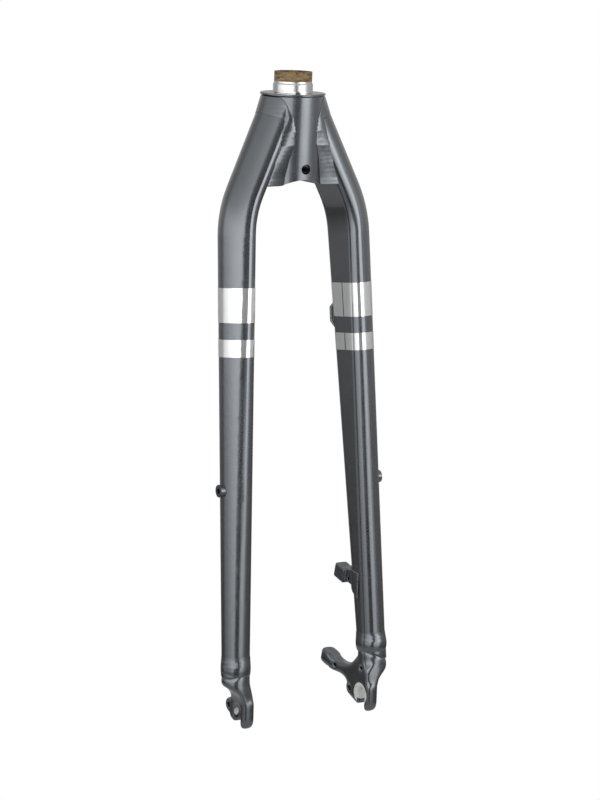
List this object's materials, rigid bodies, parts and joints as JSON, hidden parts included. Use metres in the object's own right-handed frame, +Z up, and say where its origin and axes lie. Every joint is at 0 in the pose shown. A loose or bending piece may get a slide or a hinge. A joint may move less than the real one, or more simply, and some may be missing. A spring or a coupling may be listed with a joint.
{
  "type": "rigid bicycle fork",
  "caption": "Rigid front fork for a bicycle with a disc brake: short steerer, welded crown, bent tapering blades, forged dropouts and post mounts.",
  "frame": {"origin": "on the steerer's axis, on the crown shoulder that the headset's crown race sits on", "axes": "+Z up the steerer, -Y to the front of the bicycle, +X to its left"},
  "size_m": [0.1424, 0.0816, 0.489],
  "materials": {
    "paint": "gloss dark grey paint over aluminium",
    "bare_tube": "bare tube with a brown protective film"
  },
  "bodies": {
    "root": {"steerer_tube": "bare_tube", "crown": "paint", "left_blade": "paint", "right_blade": "paint", "left_crown_weld": "paint", "right_crown_weld": "paint", "left_dropout": "paint", "right_dropout": "paint", "left_dropout_weld": "paint", "right_dropout_weld": "paint", "upper_brake_post": "paint", "upper_post_weld": "paint", "left_rack_boss": "paint", "right_rack_boss": "paint", "hose_guide": "paint"}
  },
  "joints": []
}
